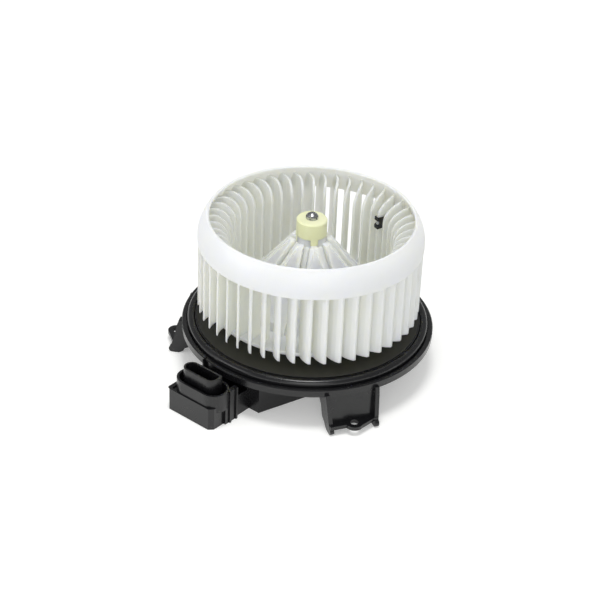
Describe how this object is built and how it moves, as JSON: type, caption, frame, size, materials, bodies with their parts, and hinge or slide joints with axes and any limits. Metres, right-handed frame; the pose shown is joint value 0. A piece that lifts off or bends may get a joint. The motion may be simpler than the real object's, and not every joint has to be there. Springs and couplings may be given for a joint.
{
  "type": "cabin blower motor",
  "caption": "Blower for a car's heater and air conditioning: a translucent squirrel-cage wheel on a brushed motor in a round black flange with mounting feet and a side connector.",
  "frame": {"origin": "centre of the bolt circle, on the plane of the feet's seating faces", "axes": "+Z along the motor axis out of the wheel's eye, -Y towards the connector, +X to the right seen from the connector"},
  "size_m": [0.1772, 0.2059, 0.1124],
  "materials": {
    "wheel_plastic": "translucent off-white moulding",
    "insert_plastic": "pale yellow-green moulding",
    "black_plastic": "semi-gloss black moulding",
    "plated_steel": "zinc plated sheet",
    "spring_steel": "oiled spring steel",
    "black_steel": "black phosphated spring steel",
    "ferrite": "ground ferrite",
    "brass_sheet": "stamped",
    "tinned_brass": "tin plated",
    "copper": "turned copper",
    "enamelled_copper": "enamelled wire",
    "sintered_bronze": "oil-filled sintered",
    "lamination_steel": "stacked sheet",
    "ground_steel": "ground",
    "phenolic_board": "pressed board",
    "carbon": "pressed carbon",
    "rubber": "moulded",
    "capacitor_dip": "dipped epoxy",
    "white_nylon": "moulded"
  },
  "bodies": {
    "housing": {"mounting_flange": "black_plastic", "bottom_cover": "black_plastic", "cover_screws": "plated_steel", "connector_housing": "black_plastic", "terminal_left": "tinned_brass", "terminal_right": "tinned_brass", "bus_bar_left": "tinned_brass", "bus_bar_right": "tinned_brass", "motor_can": "plated_steel", "end_bell": "plated_steel", "brush_card": "phenolic_board", "magnet_left": "ferrite", "magnet_right": "ferrite", "magnet_clips": "spring_steel", "upper_bearing": "sintered_bronze", "lower_bearing": "sintered_bronze", "upper_retainer": "spring_steel", "lower_retainer": "spring_steel", "thrust_pad": "white_nylon", "brush_tube_left": "brass_sheet", "brush_tube_right": "brass_sheet", "brush_spring_left": "spring_steel", "brush_spring_right": "spring_steel", "choke_front": "enamelled_copper", "choke_back": "enamelled_copper", "capacitor": "capacitor_dip", "isolator_top": "rubber", "isolator_bottom": "rubber"},
    "rotor": {"fan_wheel": "wheel_plastic", "hub_insert": "insert_plastic", "shaft_retainer": "spring_steel", "balance_clip": "black_steel", "shaft": "ground_steel", "armature_core": "lamination_steel", "armature_windings": "enamelled_copper", "commutator": "copper", "thrust_washer": "white_nylon"},
    "brush_left": {"brush_left": "carbon"},
    "brush_right": {"brush_right": "carbon"}
  },
  "joints": [
    {"name": "fan_spin", "type": "hinge", "parent": "housing", "child": "rotor", "pos_m": [0, 0, 0], "axis": [0, 0, 1], "continuous": true},
    {"name": "brush_left_slide", "type": "slide", "parent": "housing", "child": "brush_left", "axis": [-1, 0, 0], "range_m": [0, 0.0025], "stiffness_N_per_m": 120, "springref_m": -0.006, "deforming": ["brush_spring_left"]},
    {"name": "brush_right_slide", "type": "slide", "parent": "housing", "child": "brush_right", "axis": [1, 0, 0], "range_m": [0, 0.0025], "stiffness_N_per_m": 120, "springref_m": -0.006, "deforming": ["brush_spring_right"]}
  ]
}
